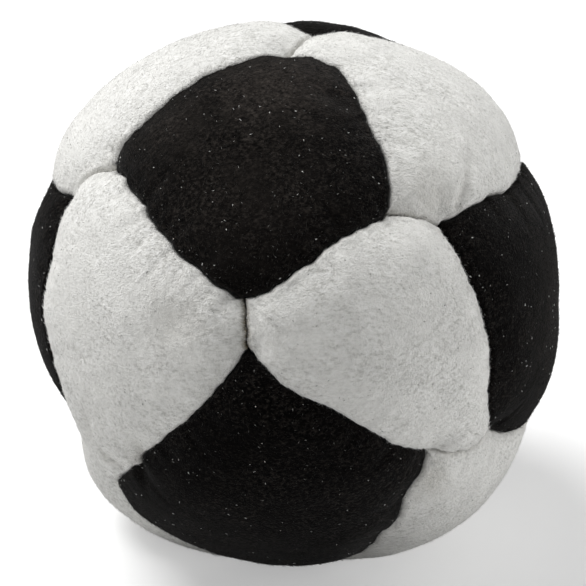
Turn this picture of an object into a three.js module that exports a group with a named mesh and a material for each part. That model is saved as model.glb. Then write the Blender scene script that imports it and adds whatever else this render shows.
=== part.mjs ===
// A footbag: fourteen suede panels, hand-sewn edge to edge round a loose filling of pellets.
//
// Six black panels have four sides and eight white ones have six: three long seams shared with
// black panels and three short ones shared with white. That is a truncated octahedron with its
// corners drawn close together. Every panel is a crowned shell whose edge folds inwards along the
// seam and carries on as a seam allowance. Along every seam a knotted thread stitches the two
// allowances together through holes in both, and the filling is hollowed out round them.
//
// The bag stands on the plane z = 0 with +Z up and its front towards -Y. Lengths are millimetres.

import * as THREE from "three";
import { mergeVertices } from "three/addons/utils/BufferGeometryUtils.js";

// Size of the stuffed bag
const HALF_WIDTH = 26; // left to right
const HALF_DEPTH = 26.6; // front to back
const HALF_HEIGHT = 26.4; // up and down, before the bag settles
const SETTLE = 2; // what the bag's own weight flattens off its underside
const SHORT_SEAM = 6; // a seam between two white panels, before its corners are nudged

// Suede panels
const SUEDE = 1.1; // thickness of the leather
const FOLD_RADIUS = 1; // outer radius of the fold along a seam
const SEAM_ALLOWANCE = 3; // leather turned in beyond the fold
const SEAM_GAP = 0.3; // between the turned-in edges of two neighbours
const SEAM_DROP = 0.8; // how far a seam is drawn in below the crowns beside it
const CORNER_DROP = 0.5; // how much further a seam's ends are drawn in
const CROWN_REACH = 5; // distance from the seam at which a panel stands at its full height

// Sewing thread
const THREAD = 0.5; // diameter
const KNOT = 0.9; // diameter of the knot at each end of a thread
const THREAD_CLEARANCE = 0.3; // between a thread and the leather

// Pellet filling
const FILLING_CLEARANCE = 0.5; // between the filling and what encloses it

// Counts
const LONG_STITCHES = 3; // along each long seam, while a short one has a single tied stitch
const THREAD_SIDES = 4;

// Shares chosen by eye
const STITCH_DEPTH_SHARE = 0.5; // of the seam allowance, below the fold
const CROWN_RING_SHARES = [0.74, 0.46, 0.24]; // of the way from a panel's seams to its middle

// How far each panel's middle stands out from the ellipsoid, as shares of the bag's half width.
// The white panels are stuffed fuller, which squares the outline a little.
const CROWN_SHARES = {
  left: -0.03,
  right: -0.01,
  high_back: 0.05,
  white_top_left: 0.015,
  white_top_right: 0.01,
  white_front_left: -0.01,
  white_front_right: 0.01,
  white_bottom_left: 0.075,
  white_bottom_right: 0.05,
  white_back_left: 0.023,
  white_back_right: 0.023,
};
const CROWN_SPREAD = THREE.MathUtils.degToRad(20); // angle over which such a crown fades

// Lumps where the pellets have gathered and a hollow where they have not, each with a direction
// from the bag's centre and its height as a share of the half width
const LUMPS = [
  { towards: [0.71, 0.3, 0.64], heightShare: 0.032 },
  { towards: [-0.77, 0.27, 0.58], heightShare: 0.022 },
  { towards: [0.94, -0.14, -0.31], heightShare: 0.017 },
  { towards: [-0.91, -0.18, -0.38], heightShare: -0.095 },
  { towards: [-0.54, -0.35, -0.76], heightShare: -0.02 },
];
const LUMP_SPREAD = THREE.MathUtils.degToRad(15);

// The lay of the panels in degrees: tipped back, leant over and turned
const TIP = 34;
const LEAN = -3;
const TURN = -10;

// The six black panels, by the way they face before the bag is tipped
const FACING = {
  top_front: [0, 0, 1],
  low_front: [0, -1, 0],
  left: [-1, 0, 0],
  right: [1, 0, 0],
  high_back: [0, 1, 0],
  low_back: [0, 0, -1],
};

// The eight white panels, by the three black panels that each lies between
const BETWEEN = {
  white_top_left: ["top_front", "high_back", "left"],
  white_top_right: ["top_front", "right", "high_back"],
  white_front_left: ["top_front", "left", "low_front"],
  white_front_right: ["top_front", "low_front", "right"],
  white_bottom_left: ["low_back", "low_front", "left"],
  white_bottom_right: ["low_back", "right", "low_front"],
  white_back_left: ["low_back", "left", "high_back"],
  white_back_right: ["low_back", "high_back", "right"],
};

// Hand sewing puts each corner a little off its true place. "a>b" is the corner of black panel a
// that points to black panel b, and moves by degrees [away from a's middle, sideways].
const CORNER_NUDGES_DEG = {
  "top_front>left": [-3.2, -2.2],
  "top_front>low_front": [-4.6, 0.2],
  "top_front>right": [-8, -9.8],
  "top_front>high_back": [-7.2, -2.4],
  "low_front>top_front": [8.9, -1.6],
  "low_front>left": [1.6, 10.3],
  "low_front>right": [1.6, 8.8],
  "low_front>low_back": [4.2, -0.8],
  "left>top_front": [3.5, -1],
  "left>low_front": [2, -2],
  "left>high_back": [-2, 0],
  "right>top_front": [8.8, 7.5],
  "right>low_front": [-4.6, 5.2],
  "right>low_back": [-1.4, 1],
  "right>high_back": [-0.5, -0.9],
  "high_back>top_front": [0, 5.5],
  "high_back>right": [0.9, -0.4],
};

// Swing of each long seam in degrees, [bow, sway, ripple]. "a:b:c" is the seam of black panel a
// that runs from its corner towards b to its corner towards c, and a bow swells panel a.
const SEAM_SWINGS_DEG = {
  "top_front:left:high_back": [2.2, 0, -0.4],
  "top_front:left:low_front": [0.5, -0.7, -0.2],
  "top_front:low_front:right": [0.3, 0.7, 0.2],
  "top_front:high_back:right": [6.6, 0.9, 1.2],
  "low_front:top_front:left": [-0.6, -0.4, -0.7],
  "low_front:top_front:right": [-1.2, -0.9, -0.5],
  "low_front:left:low_back": [1.2, 1.2, 0],
  "low_front:right:low_back": [0.8, -0.2, -0.8],
  "left:top_front:low_front": [4.2, -0.8, 0.9],
  "left:top_front:high_back": [-1.3, -2.1, 0.7],
  "right:top_front:low_front": [2.8, -1.8, 0.7],
  "right:top_front:high_back": [-0.8, -0.9, 0.4],
  "right:low_front:low_back": [-0.2, 0.8, 0.5],
  "high_back:top_front:right": [6, 0, -0.4],
};
const USUAL_SWING_DEG = [1.5, 0, 0];

const BLACK_SUEDE = new THREE.MeshStandardMaterial({ color: 0x1c1a19, roughness: 0.95 });
const WHITE_SUEDE = new THREE.MeshStandardMaterial({ color: 0xdfdfda, roughness: 0.95 });
const THREAD_FINISH = new THREE.MeshStandardMaterial({ color: 0x2a2826, roughness: 0.6 });
const PELLETS = new THREE.MeshStandardMaterial({ color: 0xb9b4a6, roughness: 0.5 });

// Directions from the bag's centre

const lay = new THREE.Euler(
  THREE.MathUtils.degToRad(TIP),
  THREE.MathUtils.degToRad(LEAN),
  THREE.MathUtils.degToRad(TURN),
  "ZYX",
);

const facing = Object.fromEntries(
  Object.entries(FACING).map(([name, axis]) => [name, new THREE.Vector3(...axis).applyEuler(lay)]),
);
const blacks = Object.keys(FACING);
const whites = Object.keys(BETWEEN);

const average = (directions) =>
  directions.reduce((sum, direction) => sum.add(direction), new THREE.Vector3()).normalize();

// Great-circle direction a share of the way from one to another.
function between(start, end, share) {
  const angle = start.angleTo(end);
  const direction = start.clone().multiplyScalar(Math.sin((1 - share) * angle));
  return direction.addScaledVector(end, Math.sin(share * angle)).normalize();
}

// The stuffed shape

const crowns = Object.entries(CROWN_SHARES).map(([name, share]) => ({
  middle: facing[name] ?? average(BETWEEN[name].map((black) => facing[black])),
  height: share * HALF_WIDTH,
  spread: CROWN_SPREAD,
}));
const lumps = LUMPS.map(({ towards, heightShare }) => ({
  middle: new THREE.Vector3(...towards).normalize(),
  height: heightShare * HALF_WIDTH,
  spread: LUMP_SPREAD,
}));

// Distance from the bag's centre to the stuffed skin, before any seam draws it in.
function skinReach(direction) {
  const ellipsoid =
    1 / Math.hypot(direction.x / HALF_WIDTH, direction.y / HALF_DEPTH, direction.z / HALF_HEIGHT);
  return [...crowns, ...lumps].reduce((reach, { middle, height, spread }) => {
    const angle = direction.angleTo(middle);
    return reach + height * Math.exp(-((angle / spread) ** 2));
  }, ellipsoid);
}

// The point a depth inside the leather's outer face, where a seam sinks that face by so much and
// the floor presses it flat.
function pointAt(direction, sink, depth) {
  const floor = direction.z < 0 ? (HALF_HEIGHT - SETTLE) / -direction.z : Infinity;
  const face = Math.min(skinReach(direction) - sink, floor);
  return direction.clone().multiplyScalar(face - depth);
}

// How far a seam with such a drop still draws the skin in at a distance from it.
const sinkAt = (drop, distance) => drop * Math.max(0, 1 - distance / CROWN_REACH) ** 2;

// Seams

const seamRadius = HALF_WIDTH - SEAM_DROP;
const seamFace = SEAM_GAP / 2; // from the middle of a seam to each turned-in edge
const foldTop = seamFace + FOLD_RADIUS; // and to where its fold starts
const cornerAngle = (Math.PI / 2 - SHORT_SEAM / seamRadius) / 2;

// The corner of black panel a that points towards black panel b.
function corner(a, b) {
  const [outwards, sideways] = CORNER_NUDGES_DEG[`${a}>${b}`] ?? [0, 0];
  const angle = cornerAngle + THREE.MathUtils.degToRad(outwards);
  const side = facing[a].clone().cross(facing[b]);
  return facing[a]
    .clone()
    .multiplyScalar(Math.cos(angle))
    .addScaledVector(facing[b], Math.sin(angle))
    .addScaledVector(side, Math.tan(THREE.MathUtils.degToRad(sideways)))
    .normalize();
}

// The path of a long seam: from a share of its length to its direction and its drop.
function longPath(a, b, c) {
  const [bow, sway, ripple] = SEAM_SWINGS_DEG[`${a}:${b}:${c}`] ?? USUAL_SWING_DEG;
  const start = corner(a, b);
  const end = corner(a, c);
  const side = start.clone().cross(end).normalize();
  if (side.dot(facing[a]) > 0) side.negate();
  return (share) => {
    const [once, twice, thrice] = [1, 2, 3].map((waves) => Math.sin(waves * Math.PI * share));
    const swing = bow * once + sway * twice + ripple * thrice;
    const direction = between(start, end, share);
    direction.addScaledVector(side, THREE.MathUtils.degToRad(swing)).normalize();
    const nearness = Math.abs(2 * share - 1) ** 3;
    return { direction, drop: SEAM_DROP + CORNER_DROP * nearness };
  };
}

// A seam is a row of points with a step from each to the next, and the inner steps are stitched.
function longSeam(a, white) {
  let [b, c] = BETWEEN[white].filter((black) => black !== a);
  if (`${a}:${c}:${b}` in SEAM_SWINGS_DEG) [b, c] = [c, b];
  const path = longPath(a, b, c);
  const steps = LONG_STITCHES + 2;
  return {
    name: `thread_${a}_to_${white.replace("white_", "")}`,
    panels: [a, white],
    ends: [`${a}>${b}`, `${a}>${c}`],
    points: Array.from({ length: steps + 1 }, (_, i) => path(i / steps)),
    stitched: Array.from({ length: steps }, (_, i) => i > 0 && i < steps - 1),
  };
}

function shortSeam(a, b, panels) {
  const drop = SEAM_DROP + CORNER_DROP;
  return {
    name: `thread_${panels.map((white) => white.replace("white_", "")).join("_to_")}`,
    panels,
    ends: [`${a}>${b}`, `${b}>${a}`],
    points: [
      { direction: corner(a, b), drop },
      { direction: corner(b, a), drop },
    ],
    stitched: [true],
  };
}

const seams = whites.flatMap((white) => BETWEEN[white].map((black) => longSeam(black, white)));
blacks.forEach((a, i) => {
  for (const b of blacks.slice(i + 1)) {
    const shared = whites.filter((white) => [a, b].every((black) => BETWEEN[white].includes(black)));
    if (shared.length) seams.push(shortSeam(a, b, shared));
  }
});

// The seams round a panel from one corner, point after point. Each point says whether the step
// from it is stitched.
function walkRound(panel, corner) {
  const rest = seams.filter((seam) => seam.panels.includes(panel));
  const walked = [];
  let end = corner;
  while (rest.length) {
    const next = rest.findIndex((seam) => seam.ends.includes(end));
    const [seam] = rest.splice(next, 1);
    const backwards = seam.ends[1] === end;
    const points = backwards ? seam.points.toReversed() : seam.points;
    walked.push(...seam.stitched.map((stitched, i) => ({ ...points[i], stitched })));
    end = seam.ends[backwards ? 0 : 1];
  }
  return walked;
}

// A panel's outline, anticlockwise seen from outside.
function outlineOf(panel) {
  const [start, end] = seams.find((seam) => seam.panels.includes(panel)).ends;
  const points = walkRound(panel, start);
  const middle = average(points.map((point) => point.direction));
  const turning = points.reduce((sum, point, i) => {
    const following = points[(i + 1) % points.length];
    return sum + point.direction.clone().cross(following.direction).dot(middle);
  }, 0);
  return { middle, points: turning > 0 ? points : walkRound(panel, end) };
}

// Angle at the bag's centre between a direction on a panel and the nearest seam round it.
function angleToSeam({ points }, direction) {
  const angles = points.map((start, i) => {
    const end = points[(i + 1) % points.length];
    const inwards = start.direction.clone().cross(end.direction).normalize();
    return Math.asin(inwards.dot(direction));
  });
  return Math.max(0, Math.min(...angles));
}

// The outline's directions, moved a share of the way to the panel's middle.
const shrunk = ({ middle, points }, share) =>
  points.map(({ direction }) => between(direction, middle, share));

// The outline's directions, moved in from it by a distance at a radius and mitred at its corners.
function inset({ points }, distance, radius) {
  return points.map(({ direction }, i) => {
    const before = points.at(i - 1).direction;
    const after = points[(i + 1) % points.length].direction;
    const incoming = before.clone().cross(direction).normalize();
    const outgoing = direction.clone().cross(after).normalize();
    const mitre = incoming.clone().add(outgoing).divideScalar(1 + incoming.dot(outgoing));
    return direction.clone().addScaledVector(mitre, distance / radius).normalize();
  });
}

// Surfaces

const fromTriangles = (corners) => mergeVertices(new THREE.BufferGeometry().setFromPoints(corners));

// The triangles between two rings. A quad with a hole in it becomes a band round the hole.
function band(outer, inner, holes = []) {
  return outer.flatMap((corner, i) => {
    const j = (i + 1) % outer.length;
    if (holes[i]) return band([corner, outer[j], inner[j], inner[i]], holes[i]);
    return [corner, outer[j], inner[j], corner, inner[j], inner[i]];
  });
}

// The triangles from a first point out over a row of rings, and in to a last point if given. The
// holes are listed by band, then by quad.
function loft(first, rings, last, holes = {}) {
  const cap = (ring, point) => band(ring, ring.map(() => point));
  const sides = rings.slice(1).flatMap((outer, i) => band(outer, rings[i], holes[i]));
  return [...cap(rings[0], first), ...sides, ...(last ? cap(rings.at(-1).toReversed(), last) : [])];
}

// Stitches

// Directions at a place on the line along which a seam is stitched.
function frameAt(centre, along) {
  const up = centre.clone().normalize();
  return { centre, up, along, across: up.clone().cross(along).normalize() };
}

// The middle of a seam's step, halfway down its allowances, and the step's start there.
function stitchPlace(...ends) {
  const [start, end] = ends.map(({ direction, drop }) =>
    pointAt(direction, sinkAt(drop, foldTop), FOLD_RADIUS + STITCH_DEPTH_SHARE * SEAM_ALLOWANCE),
  );
  const along = end.clone().sub(start).normalize();
  return { ...frameAt(start.clone().add(end).divideScalar(2), along), start };
}

// The corners of a stitch hole, so far to the left of the seam. They start at its edge towards
// the skin, or with -1 at its edge towards the filling.
function holeCorners({ centre, up, along, across }, left, edge) {
  const half = THREAD / 2 + THREAD_CLEARANCE;
  const corner = (rise, run) =>
    centre
      .clone()
      .addScaledVector(across, left)
      .addScaledVector(up, rise * half)
      .addScaledVector(along, run * half);
  return [corner(edge, -1), corner(edge, 1), corner(-edge, 1), corner(-edge, -1)];
}

// A thread from knot to knot: through both allowances at each hole, and beside them in between.
function threadTube({ points, stitched }) {
  const places = points
    .slice(1)
    .map((end, i) => stitchPlace(points[i], end))
    .filter((_, i) => stitched[i]);
  const seat = seamFace + SUEDE + THREAD_CLEARANCE;
  const stations = [];
  const pass = ({ centre, up, across }, left, width) => {
    stations.push({ up, radius: width / 2, point: centre.clone().addScaledVector(across, left) });
  };
  let side = 1;
  pass(places[0], side * (seat + KNOT), 0);
  pass(places[0], side * (seat + KNOT / 2), KNOT);
  pass(places[0], side * seat, THREAD);
  places.slice(1).forEach((place, i) => {
    const last = places[i];
    side = -side;
    pass(last, side * (seat + THREAD / 2), THREAD);
    const along = last.along.clone().add(place.along).normalize();
    pass(frameAt(place.start, along), side * (seat + THREAD / 2), THREAD);
    pass(place, side * (seat + THREAD / 2), THREAD);
  });
  side = -side;
  pass(places.at(-1), side * seat, THREAD);
  pass(places.at(-1), side * (seat + KNOT / 2), KNOT);
  pass(places.at(-1), side * (seat + KNOT), 0);

  const rings = stations.slice(1, -1).map(({ point, up, radius }, i) => {
    const incoming = point.clone().sub(stations[i].point).normalize();
    const outgoing = stations[i + 2].point.clone().sub(point).normalize();
    const ahead = incoming.clone().add(outgoing).normalize();
    const aside = ahead.clone().cross(up).normalize();
    const upright = aside.clone().cross(ahead);
    const mitre = 1 / ahead.dot(outgoing);
    return Array.from({ length: THREAD_SIDES }, (_, corner) => {
      const angle = (2 * Math.PI * corner) / THREAD_SIDES;
      return point
        .clone()
        .addScaledVector(aside, radius * mitre * Math.cos(angle))
        .addScaledVector(upright, radius * Math.sin(angle));
    });
  });
  return fromTriangles(loft(stations[0].point, rings, stations.at(-1).point));
}

// Suede panels

// Points under a panel in such directions, one for each point of its outline.
function layer(outline, directions, depth) {
  return directions.map((direction, i) => {
    const distance = Math.max(foldTop, seamRadius * angleToSeam(outline, direction));
    return pointAt(direction, sinkAt(outline.points[i].drop, distance), depth);
  });
}

function panelShell(outline) {
  const { middle, points } = outline;
  const backFace = seamFace + SUEDE;
  const halfFold = FOLD_RADIUS * (1 - Math.SQRT1_2);
  const allowanceEdge = FOLD_RADIUS + SEAM_ALLOWANCE;
  const edge = (distance, depth) =>
    layer(outline, inset(outline, distance, seamRadius - depth), depth);
  const domes = (shares, depth) =>
    shares.map((share) => layer(outline, shrunk(outline, share), depth));
  const crown = [
    ...domes(CROWN_RING_SHARES, 0),
    edge(foldTop, 0),
    edge(seamFace + halfFold, halfFold),
  ];
  const allowance = [
    edge(seamFace, FOLD_RADIUS),
    edge(seamFace, allowanceEdge),
    edge(backFace, allowanceEdge),
    edge(backFace, SUEDE),
  ];
  const underside = domes(CROWN_RING_SHARES.toReversed(), SUEDE);

  const places = points.map(
    (point, i) => point.stitched && stitchPlace(point, points[(i + 1) % points.length]),
  );
  const holesAt = (left, edge) => places.map((place) => place && holeCorners(place, left, edge));
  const frontBand = crown.length;
  const backBand = frontBand + 2;
  const tunnels = places
    .filter((place) => place)
    .flatMap((place) => band(holeCorners(place, seamFace, -1), holeCorners(place, backFace, -1)));
  const skin = loft(
    pointAt(middle, 0, 0),
    [...crown, ...allowance, ...underside],
    pointAt(middle, 0, SUEDE),
    { [frontBand]: holesAt(seamFace, -1), [backBand]: holesAt(backFace, 1) },
  );
  return fromTriangles([...skin, ...tunnels]);
}

// Filling

// The filling's skin under one panel: over its middle, down clear of the stitches and out below
// the seam allowances to the seam line, where it meets the skin under the next panel.
function fillingPatch(outline) {
  const { middle, points } = outline;
  const wall = seamFace + SUEDE + THREAD_CLEARANCE + KNOT + FILLING_CLEARANCE;
  const cover = SUEDE + FILLING_CLEARANCE;
  const below = FOLD_RADIUS + SEAM_ALLOWANCE + FILLING_CLEARANCE;
  const wallShare = wall / ((seamRadius - below) * angleToSeam(outline, middle));
  const pocket = shrunk(outline, wallShare);
  return loft(pointAt(middle, 0, cover), [
    layer(outline, pocket, cover),
    layer(outline, pocket, below),
    layer(outline, shrunk(outline, 0), below),
  ]);
}

// Assembly

const namedMesh = (name, geometry, material) => {
  const mesh = new THREE.Mesh(geometry, material);
  mesh.name = name;
  return mesh;
};

const outlines = Object.fromEntries(
  [...blacks, ...whites].map((panel) => [panel, outlineOf(panel)]),
);

const panels = new THREE.Group();
for (const black of blacks) {
  panels.add(namedMesh(`black_${black}_panel`, panelShell(outlines[black]), BLACK_SUEDE));
}
for (const white of whites) {
  panels.add(namedMesh(`${white}_panel`, panelShell(outlines[white]), WHITE_SUEDE));
}

const stitching = new THREE.Group();
for (const seam of seams) {
  stitching.add(namedMesh(seam.name, threadTube(seam), THREAD_FINISH));
}

const filling = fromTriangles(Object.values(outlines).flatMap(fillingPatch));

const footbag = new THREE.Group();
footbag.add(panels, stitching, namedMesh("pellet_filling", filling, PELLETS));

// Stand the bag on z = 0 with its bounding box centred over the origin.
const extent = new THREE.Box3().setFromObject(footbag);
const centre = extent.getCenter(new THREE.Vector3());
footbag.position.set(-centre.x, -centre.y, -extent.min.z);

export default footbag;
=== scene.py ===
# A hand-sewn suede footbag, filled with pellets, at rest on a pale floor.
#
# The script works in millimetres in the part's frame, and a mesh is scaled to metres as it is
# made. The lay of the panels and seams repeats the model's own named values, and each panel is
# then shaped much finer: stuffed, puckered at its seams, creased, and covered in nap.

import itertools
import math

import bmesh
import bpy
import numpy as np
from mathutils.bvhtree import BVHTree
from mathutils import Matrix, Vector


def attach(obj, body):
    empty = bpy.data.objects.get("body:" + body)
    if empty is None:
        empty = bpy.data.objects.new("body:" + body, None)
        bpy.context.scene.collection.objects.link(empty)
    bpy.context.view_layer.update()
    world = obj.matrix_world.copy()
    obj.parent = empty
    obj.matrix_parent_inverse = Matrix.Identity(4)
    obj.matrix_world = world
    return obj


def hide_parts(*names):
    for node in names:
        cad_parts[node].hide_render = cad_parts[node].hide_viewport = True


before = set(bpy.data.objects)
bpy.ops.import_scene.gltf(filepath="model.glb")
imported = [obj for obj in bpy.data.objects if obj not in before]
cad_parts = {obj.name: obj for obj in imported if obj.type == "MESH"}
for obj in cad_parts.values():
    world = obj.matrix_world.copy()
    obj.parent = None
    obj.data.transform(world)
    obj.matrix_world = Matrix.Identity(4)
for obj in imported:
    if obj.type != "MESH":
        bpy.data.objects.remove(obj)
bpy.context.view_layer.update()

MM = 0.001

# The stuffed bag, as modelled

BAG_CENTRE = np.array([-0.27, 0.0, 24.4])
SEMI_AXES = np.array([26.0, 26.6, 26.4])
SETTLE = 2.0
SHORT_SEAM = 6.0
SUEDE = 1.1
FOLD_RADIUS = 1.0
SEAM_ALLOWANCE = 3.0
SEAM_GAP = 0.12
SEAM_DROP = 0.8
CORNER_DROP = 0.5
CROWN_REACH = 5.0

CROWN_SHARES = {
    "left": -0.03,
    "right": -0.01,
    "high_back": 0.05,
    "white_top_left": 0.015,
    "white_top_right": 0.01,
    "white_front_left": -0.01,
    "white_front_right": 0.01,
    "white_bottom_left": 0.075,
    "white_bottom_right": 0.05,
    "white_back_left": 0.023,
    "white_back_right": 0.023,
}
CROWN_SPREAD = math.radians(20)
# Lumps and a hollow: direction from the bag's centre, and height as a share of its half width
LUMPS = [
    ((0.71, 0.3, 0.64), 0.032),
    ((-0.77, 0.27, 0.58), 0.022),
    ((0.94, -0.14, -0.31), 0.017),
    ((-0.91, -0.18, -0.38), -0.095),
    ((-0.54, -0.35, -0.76), -0.02),
]
LUMP_SPREAD = math.radians(15)

TIP = math.radians(34)
LEAN = math.radians(-3)
TURN = math.radians(-10)

FACING = {
    "top_front": (0, 0, 1),
    "low_front": (0, -1, 0),
    "left": (-1, 0, 0),
    "right": (1, 0, 0),
    "high_back": (0, 1, 0),
    "low_back": (0, 0, -1),
}
BETWEEN = {
    "white_top_left": ("top_front", "high_back", "left"),
    "white_top_right": ("top_front", "right", "high_back"),
    "white_front_left": ("top_front", "left", "low_front"),
    "white_front_right": ("top_front", "low_front", "right"),
    "white_bottom_left": ("low_back", "low_front", "left"),
    "white_bottom_right": ("low_back", "right", "low_front"),
    "white_back_left": ("low_back", "left", "high_back"),
    "white_back_right": ("low_back", "high_back", "right"),
}
# Degrees (away from the first panel's middle, sideways)
CORNER_NUDGES_DEG = {
    ("top_front", "left"): (-3.2, -2.2),
    ("top_front", "low_front"): (-4.6, 0.2),
    ("top_front", "right"): (-8, -9.8),
    ("top_front", "high_back"): (-7.2, -2.4),
    ("low_front", "top_front"): (8.9, -1.6),
    ("low_front", "left"): (1.6, 10.3),
    ("low_front", "right"): (1.6, 8.8),
    ("low_front", "low_back"): (4.2, -0.8),
    ("left", "top_front"): (3.5, -1),
    ("left", "low_front"): (2, -2),
    ("left", "high_back"): (-2, 0),
    ("right", "top_front"): (8.8, 7.5),
    ("right", "low_front"): (-4.6, 5.2),
    ("right", "low_back"): (-1.4, 1),
    ("right", "high_back"): (-0.5, -0.9),
    ("high_back", "top_front"): (0, 5.5),
    ("high_back", "right"): (0.9, -0.4),
}
# Degrees (bow, sway, ripple) of the seam of the first panel from its corner towards the second to
# its corner towards the third
SEAM_SWINGS_DEG = {
    ("top_front", "left", "high_back"): (2.2, 0, -0.4),
    ("top_front", "left", "low_front"): (0.5, -0.7, -0.2),
    ("top_front", "low_front", "right"): (0.3, 0.7, 0.2),
    ("top_front", "high_back", "right"): (6.6, 0.9, 1.2),
    ("low_front", "top_front", "left"): (-0.6, -0.4, -0.7),
    ("low_front", "top_front", "right"): (-1.2, -0.9, -0.5),
    ("low_front", "left", "low_back"): (1.2, 1.2, 0),
    ("low_front", "right", "low_back"): (0.8, -0.2, -0.8),
    ("left", "top_front", "low_front"): (4.2, -0.8, 0.9),
    ("left", "top_front", "high_back"): (-1.3, -2.1, 0.7),
    ("right", "top_front", "low_front"): (2.8, -1.8, 0.7),
    ("right", "top_front", "high_back"): (-0.8, -0.9, 0.4),
    ("right", "low_front", "low_back"): (-0.2, 0.8, 0.5),
    ("high_back", "top_front", "right"): (6, 0, -0.4),
}
USUAL_SWING_DEG = (1.5, 0, 0)
# Degrees by which the first white panel swells over the second along their short seam
LOBES_DEG = {
    ("white_front_left", "white_top_left"): 2.1,
    ("white_front_right", "white_top_right"): 0.7,
    ("white_front_right", "white_bottom_right"): 1.4,
    ("white_front_left", "white_bottom_left"): 1.5,
    ("white_top_right", "white_back_right"): 0.9,
    ("white_back_left", "white_bottom_left"): -1.0,
    ("white_back_right", "white_back_left"): 0.8,
}

# Finer shape

FOLD = 0.7  # radius of a fold as seen, with its nap
LONG_STEPS = 84
SHORT_STEPS = 30
SEAM_WAVER = 0.22  # how far hand stitching strays from the true seam line
WAVER_END = 1 / 8  # share of a seam, at each end, over which that fades
TIP_ROUNDING = 0.3  # how far a seam swells the black panel beside each of its tips
TIP_REACH = 0.9
DIMPLE_DEPTH = 0.7  # drawn in round each corner where three panels meet
DIMPLE_REACH = 2.0
DOME_RINGS = 44
DOME_SPACING = 0.8  # less than 1 sets the rings closer towards the seam
DOME_START = 0.985  # share of the way in at which the innermost ring lies
FOLD_RINGS = 8
ALLOWANCE_SHARES = (0.33, 0.67, 1)  # of the way down the outside of the allowance
BACK_SHARE = 0.4  # of the way down its inside
BACK_BEND = 0.1  # how far from it the underside of the face starts
UNDER_SHARES = (0.2, 0.45, 0.75)  # of the way in along the underside
EASE_REACH = 2.0  # how far in from a seam the mesh still follows its small waves
EASE_STEPS = 6  # steps of a seam, either way, over which those waves are evened out
FIRST_STEP = 0.02  # share of the way in over which a path's slope is measured
LEAST_SLOPE = 0.35
CREST_SHARPNESS = 5  # a higher one leaves a ridge where two seams are equally near
FLOOR_SOFTNESS = 0.25

# Layers of unevenness: size, height and seed of each
WAVER_LAYERS = [(3.0, 1, 0), (1.2, 0.75, 1), (0.6, 0.45, 2)]
STUFFING_LAYERS = [(8.5, 0.34, 11), (4.1, 0.15, 12)]
PELLET_LAYERS = [(2.1, 0.06, 13), (0.9, 0.025, 14)]
SMUDGE_AND_LIGHT_LAYERS = [(0.8, 0.4, 21)]
SOIL_AND_LIGHT_LAYERS = [(0.5, 0.35, 22)]
SWIRL_LAYERS = [(3.5, 1, 31), (1.1, 0.6, 34)]
STUFFING_EDGE = 4.0  # from a seam to where the stuffing's lumps have their full height

# Grooves that run in from the stitches
STITCH = 2.6  # from one groove at a seam to the next
GROOVE_SPACING = (0.6, 1.5)  # in stitches
GROOVE_SPANS = [(-0.5, 0.5), (1.4, 4.2), (0.35, 0.8), (0.02, 0.16)]  # slant, length, width, depth
GROOVE_SEED = 40
GROOVE_START = 0.4  # outside the seam line
GROOVE_TAPER = 0.55  # share of its length over which a groove fades from its start
CREASE_TAPER = 0.3  # share of its length over which a crease fades, either way
RIM_HEIGHT = 0.35  # of the raised rims beside a groove, as a share of its depth
RIM_WIDTH = 2.2  # in widths of the groove

# Stuffing

SKIN_LEVEL = 7  # subdivisions of the ball that stands for the whole skin
SKIN_GROWTH = 0.04  # how much larger the leather is than the space between its seams
SKIN_PRESSURE = 3.0
SKIN_STEPS = 22
CLOTH_UNIT = 0.1  # metres of the enlarged cloth for each millimetre
HELD_REACH = 0.52  # how near a seam the ball's points are held, as a share of their spacing
SWELL_BAND = 0.8  # width of the bands over which a panel's even swelling is averaged
PUCKER_SHARE = 0.6  # of the simulated puckers that the panels take
MOST_PUCKER = 0.7

# Stitches that pull a seam aside: pixel of the photograph, shift in pixels, and radius
SEAM_TUGS = [
    ((150, 118), (2, 2.5), 2.5),
    ((190, 86), (1.5, 3), 3),
    ((285, 58), (0, -3.5), 2.5),
    ((338, 70), (2, -2), 1),
    ((117, 156), (-2, -1), 0.8),
    ((122, 174), (3.5, -2), 1.1),
    ((144, 205), (4, -3), 0.45),
    ((149, 217), (-2.5, 2), 0.5),
    ((183, 255), (-1.8, 1.8), 2.5),
    ((228, 296), (2.5, -3), 1.2),
    ((246, 305), (0, -5), 0.8),
    ((258, 300), (-1, -3), 1.2),
    ((66, 212), (-5, -1), 2.2),
    ((48, 305), (-3, 0), 3),
    ((57, 185), (1, -4), 1.2),
    ((307, 33), (0, 2.5), 2.4),
    ((350, 34), (0, 2), 2),
    ((372, 130), (-2.5, 0.5), 2.5),
    ((388, 176), (-2.5, 0), 2),
    ((378, 220), (0, -2.5), 1.5),
    ((455, 214), (1, 2.5), 1),
    ((443, 236), (3, -1.5), 1.2),
    ((487, 194), (-1.5, -3.5), 2.2),
    ((475, 280), (-3, 1), 2.5),
    ((484, 330), (-3, 0), 3),
    ((487, 395), (-3, 0), 2.4),
    ((502, 437), (-1, -6), 3),
    ((320, 405), (1, -2), 3),
    ((398, 440), (-1, 3.5), 2.5),
    ((428, 450), (-3, 5), 1),
    ((411, 497), (-6, -1), 2.5),
    ((392, 532), (-5, -3), 2.5),
    ((236, 362), (3, 1), 1.2),
    ((258, 355), (-3, 3), 1.4),
    ((216, 390), (-2, -1.5), 1.3),
    ((160, 438), (1.5, 3), 1),
    ((139, 461), (3, 2), 0.5),
    ((128, 467), (0, -4), 0.75),
    ((118, 484), (-1.2, 0), 1.6),
    ((185, 541), (1.5, -4), 3.5),
    ((215, 552), (1, -8), 7),
]
TUG_DROP = 1.0  # how far below the stuffed skin a seam is

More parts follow.
